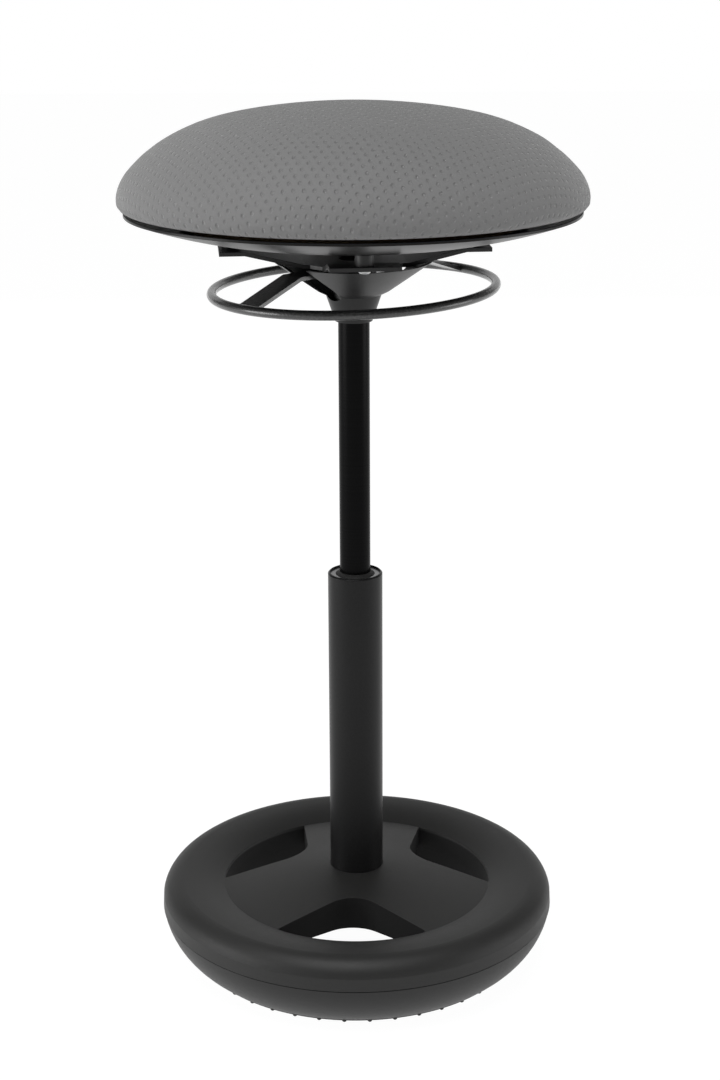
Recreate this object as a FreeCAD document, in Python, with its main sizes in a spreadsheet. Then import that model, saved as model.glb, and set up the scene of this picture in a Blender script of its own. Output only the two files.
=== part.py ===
import FreeCAD, Part
import math
import os
import re
import Sketcher

# Height-adjustable wobble stool: weighted ring foot, gas lift, ring lever and domed seat.
# Millimetres, +Z up, origin on the floor at the middle of the foot, lift fully out.

doc = FreeCAD.newDocument("WobbleStool")
V = FreeCAD.Vector

SIZES = {
    # foot: two moulded shells that meet in a seam, with a web of three arms
    "seam_r": 185.6, "seam_z": 51.0, "foot_inset": 0.6, "band_h": 12.5, "crown_inset": 19.6, "crown_h": 27.5,
    "web_inset": 58.9, "web_h": 19.0, "web_mid_h": 35.8, "shell_wall": 3.5, "collar_low_h": 20.0,
    "floor_wall": 2.0, "side_curve_r": 66.0, "edge_inset": 27.2, "edge_z": 8.3, "sole_curve_r": 50.8,
    "sole_inset": 51.6, "sole_flat_w": 4.5, "sole_z": 1.5, "reveal_w": 1.2, "reveal_h": 0.8,
    "opening_apex": 54.8, "opening_angle": 52.8, "opening_curve_r": 33.0, "opening_turn": -92.4,
    # rubber tread under the ring
    "tread_w": 27.0, "tread_t": 1.8, "nub_r": 2.0, "nub_h": 1.6, "nub_count": 42,
    # weight and steel spider inside the foot
    "iron_inset": 22.6, "iron_w": 25.0, "iron_low_z": 20.0, "iron_bevel": 10.0,
    "spider_t": 6.0, "spider_arm_w": 44.0, "spider_inset": 27.6, "spider_hub_r": 54.0, "spider_hole_r": 12.0,
    "flange_r": 46.0, "flange_t": 6.0, "flange_screw_ring_r": 36.0, "flange_screw_r": 4.0,
    "iron_screw_inset": 35.6, "iron_screw_r": 3.0, "iron_screw_len": 14.0,
    "shell_screw_inset": 87.6, "shell_screw_r": 2.0, "shell_post_r": 5.0, "shell_screw_side": 22.0,
    # outer column and the lift inside it
    "column_r": 25.0, "column_wall": 2.0, "column_top_z": 380.3, "column_lip": 1.2,
    "bush_len": 79.0, "bush_recess": 1.6, "wiper_h": 3.2, "wiper_w": 4.0,
    "end_plate_t": 5.0, "rod_r": 5.0, "rod_low_z": 52.2, "clip_t": 1.5, "clip_r": 9.0,
    "race_t": 2.5, "race_r": 12.0, "ball_r": 1.75, "ball_ring_r": 8.6, "ball_count": 9, "cage_t": 1.4,
    "damper_top_z": 99.0, "damper_r": 11.0,
    "tube_r": 14.0, "tube_wall": 1.5, "tube_low_z": 304.0, "tube_top_z": 652.0, "taper_len": 24.0,
    "taper_drop": 0.7, "inner_tube_r": 12.0, "inner_tube_wall": 1.0, "guide_h": 14.0, "seal_h": 4.0,
    "piston_low_z": 325.0, "piston_h": 10.0, "valve_h": 14.0,
    "button_r": 4.0, "button_low_z": 640.0, "button_top_z": 659.8,
    # lever ring and its bar
    "ring_r": 125.0, "ring_rod_r": 4.2, "ring_z": 643.3, "ring_lean": 1.9, "bar_turn": 42.0,
    "bar_w": 24.0, "bar_t": 3.5, "bar_low_z": 660.2, "bar_bend_r": 70.0, "bar_end_rise": -1.0,
    # seat carrier
    "hub_z": 665.5, "bracket_t": 3.5, "bracket_turn": 5.0, "arm_w": 60.0, "arm_len": 118.0,
    "arm_bend_r": 45.0, "arm_flat_r": 96.0, "arm_rise": 12.0, "hub_r": 50.0, "seat_bolt_ring_r": 107.0,
    "seat_bolt_r": 3.0, "socket_r": 18.0, "socket_len": 36.0, "spacer_r": 8.0, "spacer_h": 9.5,
    # funnel cover
    "funnel_low_z": 614.0, "funnel_low_r": 16.6, "funnel_neck_z": 637.8, "funnel_neck_r": 24.8,
    "funnel_bead": 1.0, "funnel_bulge_r": 32.4, "funnel_bulge_h": 3.6, "funnel_top_r": 70.0,
    "funnel_top_z": 667.8, "funnel_wall": 2.5, "slot_w": 31.0, "slot_low_z": 640.5,
    # seat: an oval, wider than deep
    "seat_depth_share": 0.93, "pan_side_w": 77.5, "pan_r": 199.5, "pan_depth": 19.1, "pan_curve_r": 420.0,
    "pan_wall": 3.0, "pan_lip": 2.2, "board_inset": 49.5, "board_t": 9.0, "board_bevel": 30.0,
    "board_bevel_h": 7.4, "cushion_over": 5.8, "cushion_lift": 9.0, "dome_h": 82.5, "top_arc_inset": 83.0,
    "top_arc_h": 69.4, "shoulder_inset": 37.6, "shoulder_h": 49.1, "flank_inset": 10.2, "flank_h": 25.3,
    "shoulder_curve_r": 204.0, "flank_curve_r": 104.5, "side_arc_r": 46.0, "tuck_inset": 8.3,
    "tuck_curve_r": 12.5, "cover_t": 2.0, "cover_hem": 14.0, "pan_screw_ring_r": 62.0, "pan_screw_r": 2.2,
    "pan_screw_grip": 8.0, "nut_r": 4.2, "nut_flange_r": 9.0, "nut_flange_t": 1.4, "nut_gap": 3.0,
    # clearances
    "running_gap": 0.05, "slip_gap": 0.2, "soft_gap": 0.3,
}

# Sizes that follow another one: the foot's from its seam, the seat's from its pan
FOLLOWING = {
    "foot_r": "seam_r - foot_inset", "crown_r": "seam_r - crown_inset", "web_r": "seam_r - web_inset",
    "edge_r": "seam_r - edge_inset", "sole_r": "seam_r - sole_inset",
    "sole_flat_r": "seam_r - sole_inset - sole_flat_w", "iron_r": "seam_r - iron_inset",
    "iron_hole_r": "seam_r - iron_inset - iron_w", "spider_reach": "seam_r - spider_inset",
    "iron_screw_ring_r": "seam_r - iron_screw_inset", "shell_screw_ring_r": "seam_r - shell_screw_inset",
    "pan_flat_r": "pan_r - pan_side_w", "board_r": "pan_r - board_inset", "cushion_r": "pan_r + cushion_over",
    "tuck_r": "pan_r + cushion_over - tuck_inset", "flank_r": "pan_r + cushion_over - flank_inset",
    "shoulder_r": "pan_r + cushion_over - shoulder_inset", "top_arc_r": "pan_r + cushion_over - top_arc_inset",
}

sheet = doc.addObject("Spreadsheet::Sheet", "Sizes")
cells = {**SIZES, **{alias: "=" + formula for alias, formula in FOLLOWING.items()}}
for row, (alias, size) in enumerate(cells.items(), 1):
    sheet.set("A%d" % row, alias)
    sheet.set("B%d" % row, str(size))
    sheet.setAlias("B%d" % row, alias)
doc.recompute()

NODES = []


def bound(text):
    """The same expression with every size name read from the sheet."""
    return re.sub(r"[a-z][a-z0-9]*(_[a-z0-9]+)+", lambda name: "Sizes." + name.group(0), str(text))


def value(text):
    return float(sheet.evalExpression(bound(text)))


def keep(label, thing):
    thing.Label = label
    NODES.append(thing)
    return thing


def draw_loop(sketch, corners):
    """A closed outline. A corner with a third item starts an arc of that radius, centre on the
    left of the way round, or on the right where the text starts with a minus sign."""
    places = [(value(c[0]), value(c[1])) for c in corners]
    first = sketch.GeometryCount
    ends = []
    for i, corner in enumerate(corners):
        (ax, ay), (bx, by) = places[i], places[(i + 1) % len(places)]
        a, b = V(ax, ay, 0), V(bx, by, 0)
        if len(corner) == 2:
            sketch.addGeometry(Part.LineSegment(a, b))
            ends.append((1, 2))
            continue
        right = corner[2].startswith("-")
        radius = value(corner[2].lstrip("-"))
        half = (b - a).Length / 2
        left = V(-(b - a).y, (b - a).x, 0).normalize() * (-1 if right else 1)
        centre = (a + b) * 0.5 + left * math.sqrt(max(0.0, radius ** 2 - half ** 2))
        start, stop = (b, a) if right else (a, b)
        angles = [math.atan2(p.y - centre.y, p.x - centre.x) for p in (start, stop)]
        if angles[1] < angles[0]:
            angles[1] += 2 * math.pi
        sketch.addGeometry(Part.ArcOfCircle(Part.Circle(centre, V(0, 0, 1), radius), *angles))
        ends.append((2, 1) if right else (1, 2))
    for i, corner in enumerate(corners):
        j = (i + 1) % len(corners)
        sketch.addConstraint(Sketcher.Constraint("Coincident", first + i, ends[i][1], first + j, ends[j][0]))
    for i, corner in enumerate(corners):
        for kind, text, place in (("DistanceX", corner[0], places[i][0]), ("DistanceY", corner[1], places[i][1])):
            n = sketch.addConstraint(Sketcher.Constraint(kind, -1, 1, first + i, ends[i][0], place))
            sketch.setExpression("Constraints[%d]" % n, bound(text))
        if len(corner) == 3:
            radius = corner[2].lstrip("-")
            n = sketch.addConstraint(Sketcher.Constraint("Radius", first + i, value(radius)))
            sketch.setExpression("Constraints[%d]" % n, bound(radius))


def draw_circle(sketch, x, y, radius):
    n = sketch.addGeometry(Part.Circle(V(value(x), value(y), 0), V(0, 0, 1), value(radius)))
    for kind, text in (("DistanceX", x), ("DistanceY", y)):
        c = sketch.addConstraint(Sketcher.Constraint(kind, -1, 1, n, 3, value(text)))
        sketch.setExpression("Constraints[%d]" % c, bound(text))
    c = sketch.addConstraint(Sketcher.Constraint("Radius", n, value(radius)))
    sketch.setExpression("Constraints[%d]" % c, bound(radius))


def origin_of(body, role):
    return [f for f in body.Origin.OriginFeatures if f.Role == role][0]


def new_body(label, turn="0"):
    body = doc.addObject("PartDesign::Body", label)
    body.AllowCompound = True
    body.setExpression(".Placement.Rotation.Angle", bound(turn))
    return body


def body_sketch(body, role, shift=("0", "0", "0")):
    sketch = body.newObject("Sketcher::SketchObject", body.Name + "_outline")
    sketch.AttachmentSupport = [(origin_of(body, role), "")]
    sketch.MapMode = "FlatFace"
    for axis, text in zip("xyz", shift):
        sketch.setExpression(".AttachmentOffset.Base." + axis, bound(text))
    return sketch


def revolve_in(body, corners, offset="0", groove=False):
    sketch = body_sketch(body, "XZ_Plane", (offset, "0", "0"))
    draw_loop(sketch, corners)
    doc.recompute()
    turned = body.newObject("PartDesign::Groove" if groove else "PartDesign::Revolution", body.Name + "_turned")
    turned.Profile = sketch
    turned.ReferenceAxis = (sketch, ["V_Axis"])
    turned.Angle = 360
    doc.recompute()
    return turned


def repeat_in(body, features, count):
    pattern = body.newObject("PartDesign::PolarPattern", body.Name + "_pattern")
    pattern.Originals = features
    pattern.Axis = (origin_of(body, "Z_Axis"), [""])
    pattern.Angle = 360
    pattern.setExpression(".Occurrences", bound(count))
    body.Tip = pattern
    doc.recompute()
    return pattern


def pad_in(body, draw, low, height, cut=False):
    """A pad, or a pocket, of what draw() puts on a level sketch at the height low, going up."""
    sketch = body_sketch(body, "XY_Plane", ("0", "0", low))
    draw(sketch)
    doc.recompute()
    feature = body.newObject("PartDesign::Pocket" if cut else "PartDesign::Pad", body.Name + "_pad")
    feature.Profile = sketch
    feature.setExpression(".Length", bound(height))
    feature.Reversed = cut
    doc.recompute()
    return feature


def turned_piece(label, corners):
    body = new_body(label)
    revolve_in(body, corners)
    return keep(label, body)


def ring_of(label, corners, ring_radius, count, turn="0"):
    """Like pieces turned about upright axes of their own, spaced evenly round the stool's axis."""
    body = new_body(label, turn)
    repeat_in(body, [revolve_in(body, corners, ring_radius)], count)
    return keep(label, body)


def washer_corners(inner, outer, low, top):
    return [(inner, low), (outer, low), (outer, top), (inner, top)]


def screw_corners(shank, low, head_low, head, head_h):
    """Half outline of a screw with its shank below its head."""
    return [("0", low), (shank, low), (shank, head_low), (head, head_low),
            (head, "(%s) + (%s)*0.7" % (head_low, head_h)), ("(%s)*0.8" % head, "(%s) + (%s)" % (head_low, head_h)),
            ("0", "(%s) + (%s)" % (head_low, head_h))]


def free_sketch(name, upright=False):
    sketch = doc.addObject("Sketcher::SketchObject", name)
    if upright:
        sketch.Placement = FreeCAD.Placement(V(0, 0, 0), FreeCAD.Rotation(V(1, 0, 0), 90))
    return sketch


def revolution(name, corners):
    sketch = free_sketch(name + "_outline", True)
    draw_loop(sketch, corners)
    doc.recompute()
    turned = doc.addObject("Part::Revolution", name)
    turned.Source = sketch
    turned.Axis = V(0, 0, 1)
    turned.Angle = 360
    turned.Solid = True
    return turned


def extrusion(name, sketch, direction, length, symmetric=False):
    part = doc.addObject("Part::Extrusion", name)
    part.Base = sketch
    part.DirMode = "Custom"
    part.Dir = direction
    part.setExpression(".LengthFwd", bound(length))
    part.Symmetric = symmetric
    part.Solid = True
    return part


def cut(name, base, tool):
    part = doc.addObject("Part::Cut", name)
    part.Base = base
    part.Tool = tool
    return part


def join(name, parts):
    part = doc.addObject("Part::MultiFuse", name)
    part.Shapes = parts
    return part


def posts(name, radius, low, height, ring_radius, count, turn):
    """Upright round posts, or the holes for them, on a circle, as one tool."""
    body = new_body(name, turn)
    post = pad_in(body, lambda s: draw_circle(s, ring_radius, "0", radius), low, height)
    repeat_in(body, [post], count)
    return body


# Foot: the outlines that both shells share

arm_turn = "opening_turn + 60"


def opening_corners(grow):
    """Chevron opening: two straight sides from a rounded apex, closed by the ring's inner arc."""
    apex = "(opening_apex - (%s)/sin(opening_angle))" % grow
    curve = "(opening_curve_r + (%s))" % grow
    outer = "(web_r + (%s))" % grow
    touch = "(%s/tan(opening_angle))" % curve
    side = "(sqrt((%s)^2 - (%s*sin(opening_angle))^2) - %s*cos(opening_angle))" % (outer, apex, apex)
    near_x = "%s + %s*cos(opening_angle)" % (apex, touch)
    near_y = "%s*sin(opening_angle)" % touch
    far_x = "%s + %s*cos(opening_angle)" % (apex, side)
    far_y = "%s*sin(opening_angle)" % side
    return [(near_x, "0 - " + near_y), (far_x, "0 - " + far_y, outer), (far_x, far_y),
            (near_x, near_y, curve)]


def opening_tool(name, grow):
    body = new_body(name, "opening_turn")
    block = pad_in(body, lambda s: draw_loop(s, opening_corners(grow)), "0 - 20", "seam_z + 80")
    repeat_in(body, [block], "3")
    return body


openings = opening_tool("opening_blocks", "0")
opening_walls = opening_tool("opening_wall_blocks", "shell_wall")
low_openings = opening_tool("low_opening_blocks", "0.8")
low_opening_walls = opening_tool("low_opening_wall_blocks", "0.8 + shell_wall")


def crown_arc(drop):
    """Radius of the arc that leaves the crown level and meets the crease, drop inside the skin."""
    return "((foot_r - crown_r)^2 + (crown_h - band_h)^2)/(2*(crown_h - band_h)) - (%s)" % drop


flank_arc = "((crown_r - web_r)^2 + (crown_h - web_h)^2)/(2*(crown_h - web_h))"

upper_outer = revolution("upper_outer", [
    ("column_r + slip_gap", "seam_z"), ("seam_r - reveal_w", "seam_z"), ("seam_r - reveal_w", "seam_z + reveal_h"),
    ("seam_r", "seam_z + reveal_h"), ("foot_r", "seam_z + band_h", crown_arc("0")),
    ("crown_r", "seam_z + crown_h", flank_arc), ("web_r", "seam_z + web_h"),
    ("column_r + slip_gap", "seam_z + web_mid_h")])
upper_hollow = revolution("upper_hollow", [
    ("column_r - 1", "seam_z - 1"), ("seam_r - shell_wall", "seam_z - 1"),
    ("foot_r - shell_wall", "seam_z + band_h", crown_arc("shell_wall")),
    ("crown_r", "seam_z + crown_h - shell_wall"), ("web_r", "seam_z + web_h - shell_wall"),
    ("column_r + slip_gap + shell_wall", "seam_z + web_mid_h - shell_wall"),
    ("column_r + slip_gap + shell_wall", "seam_z + collar_low_h"), ("column_r - 1", "seam_z + collar_low_h")])
foot_room = cut("foot_room", upper_hollow, opening_walls)
screw_posts = [
    posts("shell_post_blocks_%d" % i, "shell_post_r", "seam_z + spider_t + 1", "web_mid_h",
          "shell_screw_ring_r", "3", "%s %s shell_screw_side" % (arm_turn, sign))
    for i, sign in enumerate("-+")]
foot_room_posts = cut("foot_room_less_posts", foot_room, join("shell_post_blocks", screw_posts))
post_holes = [
    posts("shell_post_holes_%d" % i, "shell_screw_r", "seam_z - 12", "12 + web_h - shell_wall",
          "shell_screw_ring_r", "3", "%s %s shell_screw_side" % (arm_turn, sign))
    for i, sign in enumerate("-+")]
all_post_holes = join("shell_screw_holes", post_holes)
upper_skin = cut("upper_skin", upper_outer, foot_room_posts)
upper_open = cut("upper_open", upper_skin, openings)
keep("upper_shell", cut("upper_shell", upper_open, all_post_holes))

# Lower shell: an open trough under the ring and a floor under the three arms

sole_arc_in = "sole_curve_r - shell_wall"
lower_outer = revolution("lower_outer", [
    ("0", "seam_z - floor_wall"), ("web_r + 0.8", "seam_z - floor_wall"), ("web_r + 0.8", "sole_z + 1"),
    ("sole_flat_r", "sole_z"), ("sole_r", "sole_z", "sole_curve_r"), ("edge_r", "edge_z", "side_curve_r"),
    ("seam_r - 0.4", "seam_z"), ("0", "seam_z")])
trough = revolution("trough", [
    ("web_r + 0.8 + shell_wall", "sole_z + shell_wall"), ("sole_r", "sole_z + shell_wall", sole_arc_in),
    ("edge_r - shell_wall/2", "edge_z + shell_wall*0.87", "side_curve_r - shell_wall"),
    ("seam_r - 0.4 - shell_wall", "seam_z"), ("seam_r - 0.4 - shell_wall", "seam_z + 5"),
    ("web_r + 0.8 + shell_wall", "seam_z + 5")])
tread_edge_z = "(edge_z - 2)"
tread_seat = revolution("tread_seat", [
    ("sole_flat_r", "sole_z - 5"), ("sole_flat_r + tread_w", "sole_z - 5"),
    ("sole_flat_r + tread_w", tread_edge_z + " + tread_t"),
    ("sole_r + 7", "sole_z + tread_t"), ("sole_flat_r", "sole_z + tread_t")])
lower_less_trough = cut("lower_less_trough", lower_outer, cut("trough_less_walls", trough, low_opening_walls))
lower_open = cut("lower_open", lower_less_trough, low_openings)
lower_seated = cut("lower_seated", lower_open, tread_seat)
keep("lower_shell", cut("lower_shell", lower_seated, all_post_holes))


# Rubber tread: a strip in the sole's recess, with round nubs where the stool rolls when it is leaned

tread = new_body("tread_ring")
strip = revolve_in(tread, [
    ("sole_flat_r + 0.1", "0"), ("sole_r", "0"), ("sole_r + 7", "sole_z - 0.2"),
    ("sole_flat_r + tread_w - 0.1", tread_edge_z), ("sole_flat_r + tread_w - 0.1", tread_edge_z + " + tread_t - 0.05"),
    ("sole_r + 7", "sole_z + tread_t"), ("sole_flat_r + 0.1", "sole_z + tread_t")])
nub_low = "(%s - nub_h - 0.85)" % tread_edge_z
nub = revolve_in(tread, [
    ("0", nub_low), ("nub_r*0.6", nub_low), ("nub_r", nub_low + " + nub_h*0.5"), ("nub_r", tread_edge_z),
    ("0", tread_edge_z)], "sole_flat_r + tread_w - nub_r - 0.7")
repeat_in(tread, [nub], "nub_count")
keep("tread_ring", tread)

# Cast-iron weight in the trough, and the steel spider that ties it to the column

weight = new_body("weight_blank")
revolve_in(weight, [
    ("iron_hole_r", "iron_low_z"), ("iron_r - iron_bevel*1.2", "iron_low_z"),
    ("iron_r", "iron_low_z + iron_bevel*1.6"), ("iron_r", "seam_z"), ("iron_hole_r", "seam_z")])
weight_screw_holes = posts("weight_screw_holes", "iron_screw_r + slip_gap/2", "seam_z - iron_screw_len",
                           "iron_screw_len + 1", "iron_screw_ring_r", "3", arm_turn)
keep("weight_ring", cut("weight_drilled", weight, weight_screw_holes))

spider = new_body("base_spider", arm_turn)
arm = pad_in(spider, lambda s: draw_loop(s, [
    ("0", "0 - spider_arm_w/2"), ("spider_reach", "0 - spider_arm_w/2"), ("spider_reach", "spider_arm_w/2"),
    ("0", "spider_arm_w/2")]), "seam_z", "spider_t")
repeat_in(spider, [arm], "3")
pad_in(spider, lambda s: draw_circle(s, "0", "0", "spider_hub_r"), "seam_z", "spider_t")
pad_in(spider, lambda s: draw_circle(s, "0", "0", "spider_hole_r"), "seam_z", "spider_t + 1", True)
hole = pad_in(spider, lambda s: draw_circle(s, "iron_screw_ring_r", "0", "iron_screw_r + slip_gap"),
              "seam_z", "spider_t + 1", True)
repeat_in(spider, [hole], "3")
hole = pad_in(spider, lambda s: draw_circle(s, "flange_screw_ring_r", "0", "flange_screw_r + slip_gap/2"),
              "seam_z", "spider_t + 1", True)
repeat_in(spider, [hole], "3")
keep("base_spider", spider)

flange_z = "seam_z + spider_t"
flange = new_body("column_flange", arm_turn)
revolve_in(flange, washer_corners("column_r + running_gap", "flange_r", flange_z, flange_z + " + flange_t"))
hole = pad_in(flange, lambda s: draw_circle(s, "flange_screw_ring_r", "0", "flange_screw_r + slip_gap"),
              flange_z, "flange_t + 1", True)
repeat_in(flange, [hole], "3")
keep("column_flange", flange)
flange_top = flange_z + " + flange_t"
ring_of("flange_screws", screw_corners("flange_screw_r", "seam_z + 0.3", flange_top, "flange_screw_r*1.6",
                                       "flange_screw_r*1.2"), "flange_screw_ring_r", "3", arm_turn)
ring_of("weight_screws", screw_corners("iron_screw_r", "seam_z - iron_screw_len + 1", flange_z,
                                       "iron_screw_r*1.8", "iron_screw_r*1.1"),
        "iron_screw_ring_r", "3", arm_turn)
for sign, side in zip("-+", ("left", "right")):
    ring_of("shell_screws_" + side, [
        ("0", "seam_z - floor_wall - 1.8"), ("shell_screw_r*1.9", "seam_z - floor_wall - 1.8"),
        ("shell_screw_r*1.9", "seam_z - floor_wall"), ("shell_screw_r - 0.1", "seam_z - floor_wall"),
        ("shell_screw_r - 0.1", "seam_z + web_h - 6"), ("0", "seam_z + web_h - 5")],
        "shell_screw_ring_r", "3", "%s %s shell_screw_side" % (arm_turn, sign))

# Outer column, standing on the spider, with the bush that guides the lift in its mouth

column_low = flange_z
column_in = "(column_r - column_wall)"
turned_piece("outer_column", [
    (column_in, column_low), ("column_r", column_low), ("column_r", "column_top_z - column_lip"),
    ("column_r - column_lip", "column_top_z"), (column_in, "column_top_z")])
bush_top = "column_top_z - bush_recess"
turned_piece("guide_bush", [
    ("tube_r + running_gap", "column_top_z - bush_len"), (column_in + " - 0.02", "column_top_z - bush_len"),
    (column_in + " - 0.02", bush_top), ("tube_r + wiper_w", bush_top),
    ("tube_r + wiper_w", bush_top + " - wiper_h"), ("tube_r + running_gap", bush_top + " - wiper_h")])
turned_piece("wiper_ring", [
    ("tube_r + running_gap", bush_top + " - wiper_h"), ("tube_r + wiper_w - 0.02", bush_top + " - wiper_h"),
    ("tube_r + wiper_w - 0.02", bush_top), ("tube_r + wiper_w*0.6", bush_top + " + wiper_h*0.4"),
    ("tube_r + running_gap", bush_top + " + wiper_h*0.8")])

# Bearing in the foot of the column: the rod hangs in it by a clip and turns on its balls

plate_top = "(seam_z + spider_t + end_plate_t)"
turned_piece("end_plate", washer_corners("rod_r + slip_gap", column_in + " - 0.02", column_low, plate_top))
lower_race_top = "(%s + race_t)" % plate_top
turned_piece("lower_race", washer_corners("rod_r + slip_gap", "race_r", plate_top, lower_race_top))
ball_z = "(%s + ball_r + 0.02)" % lower_race_top
upper_race_low = "(%s + ball_r + 0.04)" % ball_z
ring_of("bearing_balls", [
    ("0", ball_z + " - ball_r", "ball_r"), ("ball_r", ball_z, "ball_r"), ("0", ball_z + " + ball_r")],
    "ball_ring_r", "ball_count")
cage = new_body("ball_cage")
revolve_in(cage, washer_corners("rod_r + slip_gap", "race_r - 0.3", ball_z + " - cage_t/2", ball_z + " + cage_t/2"))
pocket = pad_in(cage, lambda s: draw_circle(s, "ball_ring_r", "0", "ball_r + slip_gap/2"),
                ball_z + " - cage_t", "cage_t*2", True)
repeat_in(cage, [pocket], "ball_count")
keep("ball_cage", cage)
upper_race_top = "(%s + race_t)" % upper_race_low
turned_piece("upper_race", washer_corners("rod_r + 0.02", "race_r", upper_race_low, upper_race_top))

# Rod with its piston; the tube, the rest of the lift and the seat slide up and down on it

clip_low = "(%s - clip_t - running_gap*2)" % column_low
turned_piece("piston_rod", [
    ("0", "rod_low_z"), ("rod_r - 0.8", "rod_low_z"), ("rod_r", "rod_low_z + 0.8"), ("rod_r", clip_low),
    ("rod_r - 1", clip_low), ("rod_r - 1", clip_low + " + clip_t"), ("rod_r", clip_low + " + clip_t"),
    ("rod_r", "piston_low_z"), ("rod_r - 1", "piston_low_z"), ("rod_r - 1", "piston_low_z + piston_h + 1.5"),
    ("0", "piston_low_z + piston_h + 1.5")])
turned_piece("rod_clip", washer_corners("rod_r - 0.98", "clip_r", clip_low + " + 0.02", clip_low + " + clip_t - 0.02"))
turned_piece("damper_ring", washer_corners("rod_r + 0.1", "damper_r", upper_race_top, "damper_top_z"))
bore = "(inner_tube_r - inner_tube_wall)"
groove_low = "piston_low_z + piston_h*0.35"
groove_top = "piston_low_z + piston_h*0.65"
turned_piece("piston", [
    ("rod_r - 0.98", "piston_low_z"), (bore + " - running_gap", "piston_low_z"), (bore + " - running_gap", groove_low),
    (bore + " - 2.2", groove_low), (bore + " - 2.2", groove_top), (bore + " - running_gap", groove_top),
    (bore + " - running_gap", "piston_low_z + piston_h"), ("rod_r - 0.98", "piston_low_z + piston_h")])
turned_piece("piston_seal", washer_corners(bore + " - 2.18", bore + " - running_gap", groove_low + " + 0.02",
                                           groove_top + " - 0.02"))
tube_bore = "(tube_r - tube_wall)"
turned_piece("rod_guide", washer_corners("rod_r + running_gap", tube_bore + " - 0.02", "tube_low_z",
                                         "tube_low_z + guide_h"))
turned_piece("rod_seal", washer_corners("rod_r + running_gap", "inner_tube_r - 0.02", "tube_low_z + guide_h",
                                        "tube_low_z + guide_h + seal_h"))
inner_low = "(tube_low_z + guide_h + seal_h)"
valve_low = "(tube_top_z - valve_h)"
turned_piece("pressure_tube", washer_corners(bore, "inner_tube_r", inner_low, valve_low))
turned_piece("valve_body", [
    ("button_r + running_gap", valve_low), ("inner_tube_r", valve_low), ("inner_tube_r", "tube_top_z"),
    ("button_r + running_gap", "tube_top_z")])
taper_low = "(tube_top_z - taper_len)"
turned_piece("piston_tube", [
    (tube_bore, "tube_low_z"), ("tube_r - 0.8", "tube_low_z"), ("tube_r", "tube_low_z + 1.2"), ("tube_r", taper_low),
    ("tube_r - taper_drop", "tube_top_z"), ("inner_tube_r + 0.02", "tube_top_z"),
    ("inner_tube_r + 0.02", valve_low), (tube_bore, valve_low)])
turned_piece("release_button", [
    ("0", "button_low_z"), ("button_r", "button_low_z"), ("button_r", "button_top_z - 1"),
    ("button_r - 1", "button_top_z"), ("0", "button_top_z")])

# Lever: a steel ring that a hand reaches from any side, with a flat bar welded across it

lean = FreeCAD.Rotation(V(0, 1, 0), -value("ring_lean"))
lever_place = FreeCAD.Placement(V(0, 0, value("ring_z")), lean)
ring = doc.addObject("Part::Torus", "release_ring")
ring.setExpression(".Radius1", bound("ring_r"))
ring.setExpression(".Radius2", bound("ring_rod_r"))
ring.Placement = lever_place
keep("release_ring", ring)
bar_outline = free_sketch("bar_outline", True)
bar_low = "(bar_low_z - ring_z)"
end_low = "(bar_end_rise - bar_t/2)"
reach = "(ring_r - ring_rod_r*0.4)"
draw_loop(bar_outline, [
    ("0 - " + reach, end_low), ("0 - bar_bend_r", bar_low), ("bar_bend_r", bar_low), (reach, end_low),
    (reach, end_low + " + bar_t"), ("bar_bend_r", bar_low + " + bar_t"), ("0 - bar_bend_r", bar_low + " + bar_t"),
    ("0 - " + reach, end_low + " + bar_t")])
doc.recompute()
bar_blank = extrusion("bar_blank", bar_outline, V(0, 1, 0), "bar_w", True)
bar_seat = doc.addObject("Part::Torus", "bar_seat")
bar_seat.setExpression(".Radius1", bound("ring_r"))
bar_seat.setExpression(".Radius2", bound("ring_rod_r + 0.02"))
bar = cut("release_bar", bar_blank, bar_seat)
bar.Placement = FreeCAD.Placement(V(0, 0, value("ring_z")), lean * FreeCAD.Rotation(V(0, 0, 1), value("bar_turn")))
keep("release_bar", bar)

# Seat carrier: a pressed cross with four rising arms, and the tapered socket welded into its hub

arm_end_z = "(hub_z + arm_rise)"
beams = []
for i in range(2):
    outline = free_sketch("arm_outline_%d" % i, True)
    draw_loop(outline, [
        ("0 - arm_len", arm_end_z), ("0 - arm_flat_r", arm_end_z), ("0 - arm_bend_r", "hub_z"),
        ("arm_bend_r", "hub_z"), ("arm_flat_r", arm_end_z), ("arm_len", arm_end_z),
        ("arm_len", arm_end_z + " + bracket_t"), ("arm_flat_r - 0.4", arm_end_z + " + bracket_t"),
        ("arm_bend_r - 0.4", "hub_z + bracket_t"), ("0.4 - arm_bend_r", "hub_z + bracket_t"),
        ("0.4 - arm_flat_r", arm_end_z + " + bracket_t"), ("0 - arm_len", arm_end_z + " + bracket_t")])
    doc.recompute()
    beam = extrusion("arm_beam_%d" % i, outline, V(0, 1, 0), "arm_w", True)
    beam.Placement = FreeCAD.Placement(V(0, 0, 0), FreeCAD.Rotation(V(0, 0, 1), value("bracket_turn") + 90 * i))
    beams.append(beam)
hub = new_body("bracket_hub")
pad_in(hub, lambda s: draw_circle(s, "0", "0", "hub_r"), "hub_z", "bracket_t")
bracket_tools = [
    posts("seat_bolt_holes", "seat_bolt_r + slip_gap", arm_end_z + " - 5", "bracket_t + 10", "seat_bolt_ring_r", "4",
          "bracket_turn")]
socket_hole = new_body("socket_hole")
pad_in(socket_hole, lambda s: draw_circle(s, "0", "0", "socket_r + 0.02"), "hub_z - 5", "bracket_t + 10")
bracket_tools.append(socket_hole)
keep("seat_bracket", cut("seat_bracket", join("bracket_blank", beams + [hub]), join("bracket_holes", bracket_tools)))

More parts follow.
